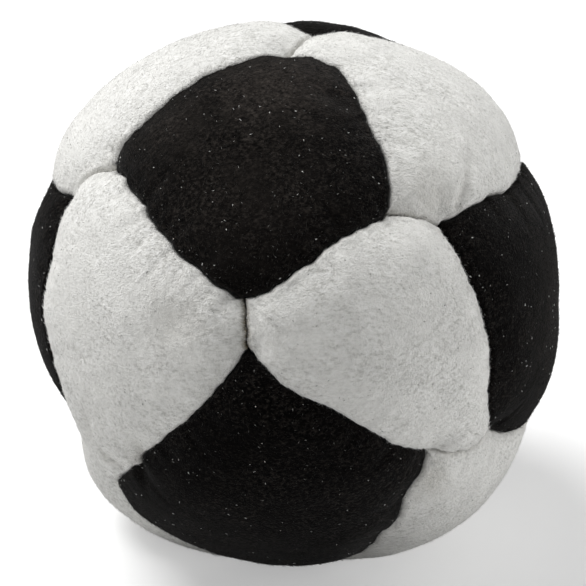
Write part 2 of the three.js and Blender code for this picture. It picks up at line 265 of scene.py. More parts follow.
# Creases and dimples that the photograph shows: panel, pixel where it starts, pixel where it
# ends, half width, depth (less than zero for a ridge) and where along it it is deepest
CREASES = [
    ("white_top_right", (468, 138), (459, 216), 0.75, 0.85, 0.65),
    ("white_top_right", (477, 150), (471, 210), 0.9, -0.4, 0.6),
    ("white_top_right", (436, 160), (448, 216), 2.4, 0.5, 0.75),
    ("white_top_right", (322, 42), (308, 60), 0.5, 0.4, 0.6),
    ("white_top_left", (90, 161), (118, 160), 0.6, 0.9, 0.75),
    ("white_top_left", (96, 147), (120, 151), 0.5, 0.7, 0.75),
    ("white_top_left", (86, 174), (114, 171), 0.7, 0.9, 0.6),
    ("white_front_left", (84, 424), (122, 472), 0.8, 0.9, 0.7),
    ("white_front_left", (104, 428), (136, 464), 0.8, -0.7, 0.7),
    ("white_front_left", (128, 420), (140, 456), 0.8, 0.6, 0.8),
    ("white_front_left", (86, 398), (96, 452), 1.0, 0.4, 0.5),
    ("white_front_left", (170, 290), (185, 350), 2.6, 0.3, 0.5),
    ("top_front", (292, 92), (360, 106), 1.3, 0.4, 0.6),
    ("top_front", (150, 120), (200, 170), 2.2, -0.25, 0.5),
    ("low_front", (136, 464), (168, 512), 0.9, 0.5, 0.15),
]
CREASE_DROP = 0.5

# Nap on all panels, lint on the black ones and specks on the white ones: how many on a panel,
# their length, width and lean from upright, and how much they swirl
NAP_COUNTS = {"white_suede": 10000, "black_suede": 8000}
NAP_LEAN = (math.radians(50), math.radians(84))
LYING = (math.radians(74), math.radians(88))
NAP = {"length": (0.15, 0.45), "width": (0.025, 0.045), "lean": NAP_LEAN, "swirl": 1.2}
LINT = {"count": 520, "length": (0.04, 0.24), "width": (0.05, 0.14), "lean": LYING, "swirl": 4}
SPECKS = {"count": 70, "length": (0.08, 0.22), "width": (0.05, 0.1), "lean": LYING, "swirl": 4}
NAP_BRUSHED = np.array([1.0, 0.2, 0.35])  # the way the nap is brushed
NAP_STRAY = 0.5  # how far single fibres stray from it
NAP_ROOT = 0.05  # how deep a fibre starts under the face
EDGE_SHARE = 2.2  # how much denser the nap stands on the folds beside a seam
EDGE_RINGS = 2  # rings of the face that count as part of the fold
BARE_RINGS = 2  # rings of the fold, deepest in the seam, that no fibre stands on

# Soil and painted shade: how strongly and how far from a seam between white panels, or another
# edge, they gather. The darkening in the seam valleys and along the folds is painted shade as well
# as dirt.
SHADED_AND_SOILED_SEAMS = {
    ("white_front_left", "white_front_right"): 0.9,
    ("white_bottom_left", "white_front_left"): 0.4,
}
USUAL_SEAM_SHADE_AND_SOIL = 0.15
SEAM_SHADE_AND_SOIL_REACH = 0.34
EDGE_SOIL_AND_SHADE = 0.08
EDGE_SOIL_AND_SHADE_REACH = 0.45
# painted shade in the creases, darker where a crease is deeper
CREASE_PAINTED_SHADE = 0.26  # in a crease that is 1 mm deep
# on black the soil mixes towards a paler colour, so there it paints sheen and dust
BLACK_SHARE_OF_SOIL_AND_LIGHT = 0.6  # how much of it shows on black
# Marks that the photograph shows: panel, pixel, radius and strength. On white most are stains, but
# those at (430, 197) and (178, 320) are painted shade in hollows, and the one at (141, 465) is
# painted shade under a fold. Those on black are painted sheen, with some dust, where the top and
# the right limb catch the light.
SMUDGES_AND_PAINTED_LIGHT = [
    ("white_top_left", (102, 170), 1.1, 0.5),
    ("white_top_left", (117, 155), 1.4, 0.3),
    # painted shade in a hollow
    ("white_top_right", (430, 197), 3.0, 0.16),
    ("white_top_right", (392, 212), 1.2, 0.3),
    # painted shade in a band across the panel's middle
    ("white_front_left", (178, 320), 2.6, 0.14),
    # painted shade under the fold at the panel's tip
    ("white_front_left", (141, 465), 1.2, 0.3),
    ("white_bottom_right", (432, 482), 1.6, 0.3),
    # painted sheen, with some dust, where the black top and right limb catch the light
    ("top_front", (275, 88), 6.0, 0.9),
    ("top_front", (180, 130), 4.0, 0.5),
    ("top_front", (250, 190), 8.0, 0.35),
    ("right", (552, 300), 6.0, 0.45),
]

# Features of the materials, to the metre
GRAIN_SCALE = 3000
FIBRE_SCALE = 3400
PIT_SCALE = 6000
PATCH_SCALE = 420
TURN_SCALE = 240
WORN_SCALE = 170
TWIST_SCALE = 900
PELLET_SCALE = 420
BUMP_HEIGHT = 0.12  # in millimetres

# Photograph

PICTURE = 586
VIEW_ELEVATION = math.radians(25)
VIEW_DISTANCE = 350.0
FOCAL_PIXELS = 3610.0
CENTRE_PIXEL = (291.5, 292.8)
VIEW_FORWARD = np.array([0, math.cos(VIEW_ELEVATION), -math.sin(VIEW_ELEVATION)])
VIEW_RIGHT = np.array([1.0, 0, 0])
VIEW_UP = np.cross(VIEW_RIGHT, VIEW_FORWARD)
SIGHT_RANGE = (-32.0, 6.4)  # how far before and behind the bag's centre a line of sight is followed
SIGHT_STEPS = 900


def unit(vectors):
    return vectors / np.linalg.norm(vectors, axis=-1, keepdims=True)


def bell(distance, reach):
    """Falls from 1 towards 0 as a distance passes its reach."""
    return np.exp(-((distance / reach) ** 2))


def turned(axis):
    """An axis of the panels' pattern, turned as the bag lies."""
    cx, cy, cz = math.cos(TIP), math.cos(LEAN), math.cos(TURN)
    sx, sy, sz = math.sin(TIP), math.sin(LEAN), math.sin(TURN)
    tip = np.array([[1, 0, 0], [0, cx, -sx], [0, sx, cx]])
    lean = np.array([[cy, 0, sy], [0, 1, 0], [-sy, 0, cy]])
    turn = np.array([[cz, -sz, 0], [sz, cz, 0], [0, 0, 1]])
    return turn @ lean @ tip @ np.array(axis, float)


facing = {name: turned(axis) for name, axis in FACING.items()}
middles = dict(facing)
middles.update({w: unit(sum(facing[b] for b in blacks)) for w, blacks in BETWEEN.items()})


def between(start, end, shares):
    """Directions on the great circle from start to end, one for each share of the way."""
    angle = np.arccos(np.clip(np.sum(start * end, axis=-1), -1, 1))[..., None]
    shares = np.asarray(shares, float)[..., None]
    return unit(np.sin((1 - shares) * angle) * start + np.sin(shares * angle) * end)


# Noise


def noise(points, size, seed):
    """Smooth noise from -1 to 1 at points, with features about a size across."""
    cells = 24
    table = np.random.default_rng(seed).uniform(-1, 1, (cells, cells, cells))
    place = np.asarray(points) / size + 100.0
    low = np.floor(place).astype(int)
    part = place - low
    part = part * part * (3 - 2 * part)
    total = 0
    for corner in np.ndindex(2, 2, 2):
        weight = np.prod(np.where(np.array(corner), part, 1 - part), axis=-1)
        i, j, k = np.moveaxis((low + corner) % cells, -1, 0)
        total = total + weight * table[i, j, k]
    return total


def layered(points, layers, shift=0):
    """Noise in layers. A shift of their seeds gives another of the same kind."""
    return sum(height * noise(points, size, seed + shift) for size, height, seed in layers)


# The stuffed shape


def skin_reach(directions):
    """Distance from the bag's centre to the stuffed skin, before any seam draws it in."""
    reach = 1 / np.linalg.norm(directions / SEMI_AXES, axis=-1)
    swells = [(middles[name], share, CROWN_SPREAD) for name, share in CROWN_SHARES.items()]
    swells += [(unit(np.array(towards)), share, LUMP_SPREAD) for towards, share in LUMPS]
    for middle, share, spread in swells:
        angle = np.arccos(np.clip(directions @ middle, -1, 1))
        reach = reach + share * SEMI_AXES[0] * bell(angle, spread)
    return reach


def floor_reach(directions):
    """Distance from the bag's centre to the floor it has settled on."""
    down = np.maximum(-directions[..., 2], 1e-9)
    return np.where(directions[..., 2] < 0, (SEMI_AXES[2] - SETTLE) / down, np.inf)


def soft_minimum(a, b, softness):
    """The lesser of two lengths, rounded off where they meet."""
    b = np.minimum(b, 1e6)
    share = np.clip(0.5 + 0.5 * (b - a) / softness, 0, 1)
    return b * (1 - share) + a * share - softness * share * (1 - share)


def photo_direction(pixel, drop):
    """The direction from the bag's centre of what the photograph shows at a pixel, where that is
    so far below the stuffed skin."""
    ray = (
        VIEW_FORWARD
        + VIEW_RIGHT * (pixel[0] - CENTRE_PIXEL[0]) / FOCAL_PIXELS
        - VIEW_UP * (pixel[1] - CENTRE_PIXEL[1]) / FOCAL_PIXELS
    )
    depths = VIEW_DISTANCE + np.linspace(*SIGHT_RANGE, SIGHT_STEPS)
    points = depths[:, None] * ray - VIEW_DISTANCE * VIEW_FORWARD
    reach = np.minimum(skin_reach(unit(points)), floor_reach(unit(points)))
    above = np.linalg.norm(points, axis=1) - reach + drop
    met = np.flatnonzero(above < 0)
    return unit(points[met[0] if len(met) else np.argmin(above)])


# Seams

seam_radius = SEMI_AXES[0] - SEAM_DROP
seam_face = SEAM_GAP / 2
fold_top = seam_face + FOLD
corner_angle = (math.pi / 2 - SHORT_SEAM / seam_radius) / 2


def corner(a, b):
    """The direction of the corner of one black panel that points to another."""
    outwards, sideways = CORNER_NUDGES_DEG.get((a, b), (0, 0))
    angle = corner_angle + math.radians(outwards)
    side = np.cross(facing[a], facing[b])
    return unit(
        math.cos(angle) * facing[a]
        + math.sin(angle) * facing[b]
        + math.tan(math.radians(sideways)) * side
    )


def tugged(directions):
    """Seam points, moved where single stitches pull."""
    for pixel, shift, radius in SEAM_TUGS:
        place = photo_direction(pixel, TUG_DROP)
        pull = photo_direction((pixel[0] + shift[0], pixel[1] + shift[1]), TUG_DROP) - place
        span = np.linalg.norm(directions - place, axis=1) * seam_radius
        directions = directions + pull * bell(span, radius)[:, None]
    return unit(directions)


def wavered(directions, side, shares):
    """The seam line with the small unevenness of hand stitching, which fades at its ends."""
    stray = layered(directions * seam_radius, WAVER_LAYERS, len(seams))
    fade = np.clip(np.minimum(shares, 1 - shares) / WAVER_END, 0, 1)
    return tugged(unit(directions + side * (SEAM_WAVER / seam_radius * stray * fade)[:, None]))


def long_seam(a, white):
    """The seam between a black panel and a white one."""
    b, c = [black for black in BETWEEN[white] if black != a]
    if (a, c, b) in SEAM_SWINGS_DEG:
        b, c = c, b
    bow, sway, ripple = SEAM_SWINGS_DEG.get((a, b, c), USUAL_SWING_DEG)
    start, end = corner(a, b), corner(a, c)
    side = unit(np.cross(start, end))
    side = -side if side @ facing[a] > 0 else side
    shares = np.linspace(0, 1, LONG_STEPS + 1)
    once, twice, thrice = (np.sin(waves * np.pi * shares) for waves in (1, 2, 3))
    swing = np.radians(bow * once + sway * twice + ripple * thrice)
    length = math.acos(start @ end) * seam_radius
    for travel in (shares * length / TIP_REACH, (1 - shares) * length / TIP_REACH):
        swing = swing + TIP_ROUNDING / seam_radius * travel * np.exp(1 - travel)
    directions = unit(between(start, end, shares) + side * swing[:, None])
    return {
        "panels": (a, white),
        "ends": ((a, b), (a, c)),
        "side": side,
        "directions": wavered(directions, side, shares),
        "drops": SEAM_DROP + CORNER_DROP * np.abs(2 * shares - 1) ** 3,
    }


def short_seam(a, b, panels):
    """The seam between two white panels, which joins the corners of two black ones."""
    start, end = corner(a, b), corner(b, a)
    shares = np.linspace(0, 1, SHORT_STEPS + 1)
    side = unit(np.cross(start, end))
    first, second = panels
    towards_second = side if side @ middles[second] > side @ middles[first] else -side
    bow = LOBES_DEG.get((first, second), -LOBES_DEG.get((second, first), 0))
    swing = math.radians(bow) * np.sin(np.pi * shares)
    directions = unit(between(start, end, shares) + towards_second * swing[:, None])
    return {
        "panels": panels,
        "ends": ((a, b), (b, a)),
        "side": towards_second,
        "directions": wavered(directions, side, shares),
        "drops": np.full(len(shares), SEAM_DROP + CORNER_DROP),
    }


seams = []
for white, blacks in BETWEEN.items():
    for black in blacks:
        seams.append(long_seam(black, white))
for a, b in itertools.combinations(FACING, 2):
    shared = tuple(white for white, blacks in BETWEEN.items() if a in blacks and b in blacks)
    if shared:
        seams.append(short_seam(a, b, shared))

ends = sorted({end for seam in seams for end in seam["ends"]})
corners = tugged(np.array([corner(*end) for end in ends]))


def outline_of(panel):
    """The panel's outline, anticlockwise seen from outside: directions, seam drops and for each
    the number of the seam that it lies on."""
    rest = [seam for seam in seams if panel in seam["panels"]]
    end = rest[0]["ends"][0]
    pieces = []
    while rest:
        seam = next(seam for seam in rest if end in seam["ends"])
        rest = [other for other in rest if other is not seam]
        step = -1 if seam["ends"][1] == end else 1
        numbers = np.full(len(seam["drops"]), len(rest))
        columns = (seam["directions"], seam["drops"], numbers)
        pieces.append([column[::step][:-1] for column in columns])
        end = seam["ends"][::step][1]
    directions, drops, parts = (np.concatenate(column) for column in zip(*pieces))
    middle = unit(directions.sum(axis=0))
    turning = np.cross(directions, np.roll(directions, -1, axis=0)) @ middle
    if turning.sum() < 0:
        directions, drops, parts = directions[::-1], drops[::-1], parts[::-1]
    return {"middle": middle, "directions": directions, "drops": drops, "parts": parts}


outlines = {panel: outline_of(panel) for panel in [*FACING, *BETWEEN]}


def distance_to_seam(outline, directions):
    """Distance along the skin to the panel's outline, rounded off where two seams are as near,
    and the drop of the nearest seam."""
    line, parts = outline["directions"], outline["parts"]
    drop = outline["drops"][np.argmax(directions @ line.T, axis=1)]
    total = np.zeros(len(directions))
    for part in np.unique(parts):
        own = np.flatnonzero(parts == part)
        nearest = own[np.argmax(directions @ line[own].T, axis=1)]
        best = np.full(len(directions), np.inf)
        for step in (-1, 1):
            start = line[nearest]
            along = line[(nearest + step) % len(line)] - start
            offset = directions - start
            share = np.clip(np.sum(offset * along, 1) / np.sum(along * along, 1), 0, 1)
            best = np.minimum(best, np.linalg.norm(offset - along * share[:, None], axis=1))
        total += np.maximum(best * seam_radius, 1e-3) ** -CREST_SHARPNESS
    return total ** (-1 / CREST_SHARPNESS), drop


def dimples(directions):
    """How far the corners where three panels meet draw the skin in."""
    spans = np.linalg.norm(directions[:, None] - corners, axis=2) * seam_radius
    return DIMPLE_DEPTH * bell(spans, DIMPLE_REACH).sum(axis=1)


# Relief


def seam_puckers(panel):
    """Grooves that run in from the stitches along a panel's seams."""
    outline = outlines[panel]
    line = outline["directions"] * seam_radius
    draw = np.random.default_rng(GROOVE_SEED + sorted(outlines).index(panel))
    steps = np.linalg.norm(np.roll(line, -1, axis=0) - line, axis=1)
    place = np.cumsum(steps) - steps
    grooves = []
    at = draw.uniform(0, STITCH)
    while at < steps.sum():
        i = int(np.searchsorted(place, at)) % len(line)
        along = unit(line[(i + 1) % len(line)] - line[i - 1])
        inwards = unit(np.cross(outline["directions"][i], along))
        slant, length, width, depth = (draw.uniform(*span) for span in GROOVE_SPANS)
        start = line[i] - inwards * GROOVE_START
        end = start + length * unit(inwards + slant * along)
        grooves.append((start, end, width, depth, 0))
        at += STITCH * draw.uniform(*GROOVE_SPACING)
    return grooves


def photo_place(pixel):
    """The place of what the photograph shows at a pixel, in millimetres at the seams' radius."""
    return photo_direction(pixel, CREASE_DROP) * seam_radius


def creases_on(panel):
    """The creases on a panel, as grooves."""
    return [
        (photo_place(start), photo_place(end), *shape)
        for name, start, end, *shape in CREASES
        if name == panel
    ]


def groove_depth(points, grooves):
    """How deep the grooves are at the points, with a low rim beside each."""
    total = np.zeros(len(points))
    for start, end, width, depth, peak in grooves:
        along = end - start
        length = np.linalg.norm(along)
        along = along / length
        offset = points - start
        share = offset @ along / length
        across = np.linalg.norm(offset - np.outer(offset @ along, along), axis=1)
        spread = GROOVE_TAPER if peak == 0 else CREASE_TAPER
        rim = RIM_HEIGHT * bell(across, RIM_WIDTH * width)
        total += depth * bell(share - peak, spread) * (bell(across, width) - rim)
    return total


def stuffing_lumps(directions, distance):
    """The unevenness of the pellets under the skin, which fades out at the seams."""
    inside = np.clip(distance / STUFFING_EDGE, 0, 1)
    return layered(directions * seam_radius, STUFFING_LAYERS) * inside


# The stuffed skin as cloth


def add_object(name, data):
    thing = bpy.data.objects.new(name, data)
    bpy.context.scene.collection.objects.link(thing)
    return thing


def points_of(mesh):
    flat = np.empty(len(mesh.vertices) * 3)
    mesh.vertices.foreach_get("co", flat)
    return flat.reshape(-1, 3)


def nearest_seam(directions):
    """For each direction the nearest point of any seam, the way to it and its panel."""
    counts = [len(seam["directions"]) for seam in seams]
    line = np.vstack([seam["directions"] for seam in seams])
    side = np.repeat([seam["side"] for seam in seams], counts, axis=0)
    pairs = np.repeat([seam["panels"] for seam in seams], counts, axis=0)
    batches = np.array_split(directions, 40)
    near = np.concatenate([np.argmax(batch @ line.T, axis=1) for batch in batches])
    offset = directions - line[near]
    second = np.sum(offset * side[near], axis=1) > 0
    panel = np.where(second, pairs[near, 1], pairs[near, 0])
    return line[near], np.linalg.norm(offset, axis=1) * seam_radius, panel


def blown_out(mesh, held):
    """Where a mesh's points come to rest as cloth, held at some of them and blown out by its
    filling."""
    skin = add_object("skin", mesh)
    skin.vertex_groups.new(name="held").add(np.flatnonzero(held).tolist(), 1.0, "REPLACE")
    cloth = skin.modifiers.new("cloth", "CLOTH")
    settings = cloth.settings
    settings.quality = 5
    settings.mass = 0.3
    settings.tension_stiffness = 15
    settings.compression_stiffness = 15
    settings.shear_stiffness = 5
    settings.bending_stiffness = 0.6
    settings.use_pressure = True
    settings.uniform_pressure_force = SKIN_PRESSURE
    settings.vertex_group_mass = "held"
    settings.shrink_min = -SKIN_GROWTH
    settings.effector_weights.gravity = 0
    cloth.collision_settings.use_collision = False
    cloth.point_cache.frame_end = SKIN_STEPS
    scene = bpy.context.scene
    scene.frame_start, scene.frame_end = 1, SKIN_STEPS
    for step in range(1, SKIN_STEPS + 1):
        scene.frame_set(step)
    end = points_of(skin.evaluated_get(bpy.context.evaluated_depsgraph_get()).to_mesh())
    scene.frame_set(1)
    bpy.data.objects.remove(skin)
    return end


def simulated_skin():
    """The skin as one ball of cloth, held along its seams and cut a little large. Returns the
    ball's directions, its triangles and how far each point is moved, less its panel's even
    swelling, which the crowns already give."""
    ball = bmesh.new()
    bmesh.ops.create_icosphere(ball, subdivisions=SKIN_LEVEL, radius=1.0)
    mesh = bpy.data.meshes.new("skin")
    ball.to_mesh(mesh)
    ball.free()
    directions = unit(points_of(mesh))
    triangles = np.empty(len(mesh.polygons) * 3, int)
    mesh.polygons.foreach_get("vertices", triangles)
    spacing = seam_radius * np.linalg.norm(directions[triangles[0]] - directions[triangles[1]])

    seam_point, distance, panel = nearest_seam(directions)
    held = distance < HELD_REACH * spacing
    directions[held] = seam_point[held]
    sink = SEAM_DROP * np.clip(1 - distance / CROWN_REACH, 0, 1) ** 2
    reach = skin_reach(directions) - sink - dimples(directions)
    reach += stuffing_lumps(directions, distance)
    start = directions * reach[:, None]
    mesh.vertices.foreach_set("co", (start * CLOTH_UNIT).ravel())
    end = blown_out(mesh, held) / CLOTH_UNIT
    bpy.data.meshes.remove(mesh)

    move = np.sum((end - start) * directions, axis=1)
    for name in outlines:
        own = panel == name
        steps = np.arange(0, distance[own].max() + 1, SWELL_BAND)
        band = np.digitize(distance[own], steps)
        swelling = np.zeros(len(steps) + 1)
        for k in np.unique(band):
            swelling[k] = move[own][band == k].mean()
        move[own] -= np.interp(distance[own], np.r_[0, steps] + SWELL_BAND / 2, swelling)
    return directions, triangles.reshape(-1, 3), np.clip(move, -MOST_PUCKER, MOST_PUCKER)


def pucker_map():
    """A function from directions to how far the simulated puckers move the skin there."""
    corners_of, triangles, move = simulated_skin()
    tree = BVHTree.FromPolygons(corners_of.tolist(), triangles.tolist())

    def puckers(directions):
        hits = [tree.find_nearest(direction) for direction in directions.tolist()]
        place = np.array([hit[0] for hit in hits])
        a, b, c = (triangles[[hit[2] for hit in hits]][:, k] for k in range(3))
        spans = [
            np.linalg.norm(np.cross(corners_of[p] - place, corners_of[q] - place), axis=1)
            for p, q in ((b, c), (c, a), (a, b))
        ]
        weights = np.array(spans) / np.sum(spans, axis=0)
        return PUCKER_SHARE * (weights[0] * move[a] + weights[1] * move[b] + weights[2] * move[c])

    return puckers


puckers_at = pucker_map()


def relief(panel, directions, distance):
    """How far stuffing, puckers and creases move a panel's face outwards."""
    places = directions * seam_radius
    pellets = layered(places, PELLET_LAYERS)
    grooves = seam_puckers(panel) + creases_on(panel)
    lumps = stuffing_lumps(directions, distance) + puckers_at(directions)
    return lumps + pellets - groove_depth(places, grooves)


def soil_and_painted_light_on(panel, directions):
    """How much soil and painted light a panel's face has, from 0 to 1: painted shade and dirt along
    its seams, painted shade in its creases, and the listed marks, which are stains, painted shade
    and painted sheen.
    """
    places = directions * seam_radius
    edge = distance_to_seam(outlines[panel], directions)[0]
    # painted shade and dirt along every edge of the panel
    soil_and_painted_light = EDGE_SOIL_AND_SHADE * bell(edge, EDGE_SOIL_AND_SHADE_REACH)
    # painted shade in the creases
    soil_and_painted_light = np.maximum(soil_and_painted_light, CREASE_PAINTED_SHADE * groove_depth(places, creases_on(panel)))
    # painted shade and dirt in the valleys of the seams between white panels
    for seam in seams:
        if panel in seam["panels"] and not FACING.keys() & set(seam["panels"]):
            line = seam["directions"]
            span = seam_radius * np.linalg.norm(directions[:, None] - line, axis=2).min(axis=1)
            strength = SHADED_AND_SOILED_SEAMS.get(tuple(sorted(seam["panels"])), USUAL_SEAM_SHADE_AND_SOIL)
            soil_and_painted_light = np.maximum(soil_and_painted_light, strength * bell(span, SEAM_SHADE_AND_SOIL_REACH))
    # stains, painted shade and painted sheen at the listed marks
    for name, pixel, radius, strength in SMUDGES_AND_PAINTED_LIGHT:
        if name == panel:
            span = np.linalg.norm(places - photo_place(pixel), axis=1)
            span = span * (1 + layered(places, SMUDGE_AND_LIGHT_LAYERS))
            soil_and_painted_light = np.maximum(soil_and_painted_light, strength * bell(span, radius))
    return np.clip(soil_and_painted_light * (1 + layered(places, SOIL_AND_LIGHT_LAYERS)), 0, 1)


# Panels


def seam_slopes(outline):
    """How far each path from the outline to the panel's middle would come from the seam if it
    went on as it starts."""
    line, middle = outline["directions"], outline["middle"]
    span = np.arccos(np.clip(line @ middle, -1, 1))
    first = between(line, middle[None], np.full(len(line), FIRST_STEP))
    slope = distance_to_seam(outline, first)[0] / (FIRST_STEP * span * seam_radius)
    window = np.hanning(2 * EASE_STEPS + 1)
    padded = np.concatenate([slope[-EASE_STEPS:], slope, slope[:EASE_STEPS]])
    slope = np.clip(np.convolve(padded, window / window.sum(), "valid"), LEAST_SLOPE, 1)
    return slope * span * seam_radius


def panel_points(panel):
    """Rings of points from the panel's middle out over its face, down its fold and allowance,
    and back in under it."""
    outline = outlines[panel]
    line, middle = outline["directions"], outline["middle"]
    deepest = distance_to_seam(outline, middle[None])[0][0]
    slopes = seam_slopes(outline)
    eased = unit(sum(np.roll(line, step, axis=0) for step in range(-EASE_STEPS, EASE_STEPS + 1)))

    def layer(directions, depth):
        """Points in these directions, so deep under the face."""
        gap, drop = distance_to_seam(outline, directions)
        sink = drop * np.clip(1 - np.maximum(gap, fold_top) / CROWN_REACH, 0, 1) ** 2
        reach = skin_reach(directions) - sink - dimples(directions)
        shown = np.clip(1 - depth / SUEDE, 0, 1)
        reach = reach + relief(panel, directions, gap) * shown
        reach = soft_minimum(reach, floor_reach(directions), FLOOR_SOFTNESS)
        return directions * (reach - depth)[:, None]

    def ring(distance, depth):
        """The points so far in from the seam. Further in they blend into even shares of the way."""
        ease = min(distance / EASE_REACH, 1)
        start = unit((1 - ease) * line + ease * eased)
        inwards = distance / deepest
        blend = inwards * inwards * (3 - 2 * inwards)
        shares = (1 - blend) * (distance / slopes) + blend * inwards
        return layer(between(start, middle[None], shares), depth)

    rings = []
    for k in range(1, DOME_RINGS + 1):
        travel = 1 - (k / DOME_RINGS) ** DOME_SPACING
        rings.append(ring(fold_top + travel * (deepest * DOME_START - fold_top), 0))
    for k in range(1, FOLD_RINGS + 1):
        angle = math.pi / 2 * k / FOLD_RINGS
        rings.append(ring(fold_top - FOLD * math.sin(angle), FOLD * (1 - math.cos(angle))))
    edge = FOLD_RADIUS + SEAM_ALLOWANCE
    back = seam_face + SUEDE
    for share in ALLOWANCE_SHARES:
        rings.append(ring(seam_face, FOLD + share * (edge - FOLD)))
    rings.append(ring(back, edge))
    rings.append(ring(back, FOLD_RADIUS + BACK_SHARE * SEAM_ALLOWANCE))
    rings.append(ring(back + BACK_BEND, SUEDE))
    for travel in UNDER_SHARES:
        rings.append(ring(back + travel * (deepest - back), SUEDE))
    return layer(middle[None], 0), rings, layer(middle[None], SUEDE)


def closed_fan(first, rings, last):
    """Points and faces of the closed surface from a first point out over rings to a last."""
    count = len(rings[0])
    points = np.vstack([first, *rings, last])
    steps = [(k, (k + 1) % count) for k in range(count)]
    tail = len(points) - 1
    faces = [(0, 1 + a, 1 + b) for a, b in steps]
    outermost = tail - count
    for low in range(1, outermost, count):
        high = low + count
        faces += [(low + a, high + a, high + b, low + b) for a, b in steps]
    faces += [(tail, outermost + b, outermost + a) for a, b in steps]
    return points, faces


def add_mesh(name, points, faces, material):
    """A smooth mesh of points in millimetres from the bag's centre."""
    mesh = bpy.data.meshes.new(name)
    mesh.from_pydata(((points + BAG_CENTRE) * MM).tolist(), [], faces)
    mesh.polygons.foreach_set("use_smooth", [True] * len(mesh.polygons))
    mesh.materials.append(material)
    mesh.update()
    return add_object(name, mesh)


# Nap


def scattered(rings, count, draw):
    """Random points on the face that the rings span, each with its outward normal. They stand
    denser on the fold."""
    grid = np.array(rings)
    ahead = np.roll(grid, -1, axis=1)
    quad = [part.reshape(-1, 3) for part in (grid[:-1], ahead[:-1], ahead[1:], grid[1:])]
    normals = np.cross(quad[2] - quad[0], quad[3] - quad[1])
    if np.sum(normals * quad[0]) < 0:
        normals = -normals
    share = np.where(np.arange(len(grid) - 1) < DOME_RINGS - EDGE_RINGS, 1, EDGE_SHARE)
    weights = np.linalg.norm(normals, axis=1) * np.repeat(share, grid.shape[1])
    chosen = draw.choice(len(weights), count, p=weights / weights.sum())
    across, along = draw.uniform(0, 1, (2, count, 1))
    a, b, c, d = (part[chosen] for part in quad)
    inner = (1 - across) * a + across * b
    outer = (1 - across) * d + across * c
    return (1 - along) * inner + along * outer, unit(normals[chosen])


def brushed(points, normals, lean, swirl, draw):
    """The ways in which fibres at the points lie: brushed, with a swirl, and more or less flat."""
    stray = np.stack([layered(points, SWIRL_LAYERS, k) for k in range(3)], 1)
    flow = NAP_BRUSHED + swirl * (stray + draw.normal(0, NAP_STRAY, stray.shape))
    flat = unit(flow - normals * np.sum(flow * normals, axis=1, keepdims=True))
    angle = draw.uniform(*lean, (len(points), 1))
    return unit(np.cos(angle) * normals + np.sin(angle) * flat)


def fibres(points, ways, lengths, widths):
    """Slim closed spikes, one at each point: their points and faces."""
    unlikely_way = np.array([0.31, -0.57, 0.76])
    side = unit(np.cross(ways, unlikely_way))
    other = np.cross(ways, side)
    root = points - ways * NAP_ROOT
    around = [
        root + widths[:, None] / 2 * (math.cos(turn) * side + math.sin(turn) * other)
        for turn in (0, math.tau / 3, 2 * math.tau / 3)
    ]
    tips = points + ways * lengths[:, None]
    spikes = np.stack([*around, tips], 1).reshape(-1, 3)
    spike_faces = np.array([(0, 1, 3), (1, 2, 3), (2, 0, 3), (0, 2, 1)])
    faces = (np.arange(len(points))[:, None, None] * 4 + spike_faces).reshape(-1, 3)
    return spikes, faces


def add_fibres(name, slot, rings, shades, count, length, width, lean, swirl):
    """A coat of fibres over a face, in one of a few shades each. None goes below the floor."""
    draw = np.random.default_rng(sum(map(ord, name)))
    points, normals = scattered(rings, count, draw)
    ways = brushed(points, normals, lean, swirl, draw)
    lengths, widths = draw.uniform(*length, count), draw.uniform(*width, count)
    spikes, faces = fibres(points, ways, lengths, widths)
    above = (spikes + BAG_CENTRE)[:, 2].reshape(-1, 4).min(axis=1) > 0
    faces = faces.reshape(-1, 4, 3)[above].reshape(-1, 3)
    used, faces = np.unique(faces, return_inverse=True)
    piece = add_mesh(name, spikes[used], faces.reshape(-1, 3).tolist(), shades[0])
    for shade in shades[1:]:
        piece.data.materials.append(shade)
    picks = np.repeat(draw.integers(0, len(shades), above.sum()), 4)
    piece.data.polygons.foreach_set("material_index", picks)
    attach(piece, "root")


# Materials


def set_inputs(tree, node, values):
    """Give a node's inputs their values, or link them to the sockets given."""
    for name, value in values.items():
        if isinstance(value, bpy.types.NodeSocket):
            tree.links.new(value, node.inputs[name])
        else:
            node.inputs[name].default_value = value


def add_node(tree, kind, values):
    node = tree.nodes.new(f"ShaderNode{kind}")
    set_inputs(tree, node, values)
    return node


def new_material(name, values):
    """A material whose shader has these values, with its tree and its shader."""
    material = bpy.data.materials.new(name)
    material.use_nodes = True
    tree = material.node_tree
    shader = tree.nodes["Principled BSDF"]
    set_inputs(tree, shader, values)
    return material, tree, shader


def noise_node(tree, coordinates, scale, detail=2.0, roughness=0.55):
    values = {"Vector": coordinates, "Scale": scale, "Detail": detail, "Roughness": roughness}
    return add_node(tree, "TexNoise", values).outputs["Fac"]


def ramp_node(tree, factor, stops):
    ramp = add_node(tree, "ValToRGB", {"Fac": factor})
    elements = ramp.color_ramp.elements
    while len(elements) < len(stops):
        elements.new(0.5)
    for element, (place, colour) in zip(elements, stops):
        element.position = place
        element.color = (*colour, 1)
    return ramp.outputs["Color"]


def mix_node(tree, factor, a, b, kind="MIX"):
    mix = tree.nodes.new("ShaderNodeMix")
    mix.data_type = "RGBA"
    mix.blend_type = kind
    a, b = ((*value, 1) if isinstance(value, tuple) else value for value in (a, b))
    set_inputs(tree, mix, {0: factor, 6: a, 7: b})
    return mix.outputs[2]


def strokes(tree, coordinates, turn, drawn_out):
    """Noise drawn out along one direction, as brushed fibres are."""
    values = {"Vector": coordinates, "Rotation": turn, "Scale": (drawn_out, 1, 1)}
    stretch = add_node(tree, "Mapping", values)
    return noise_node(tree, stretch.outputs["Vector"], FIBRE_SCALE, 3, 0.6)


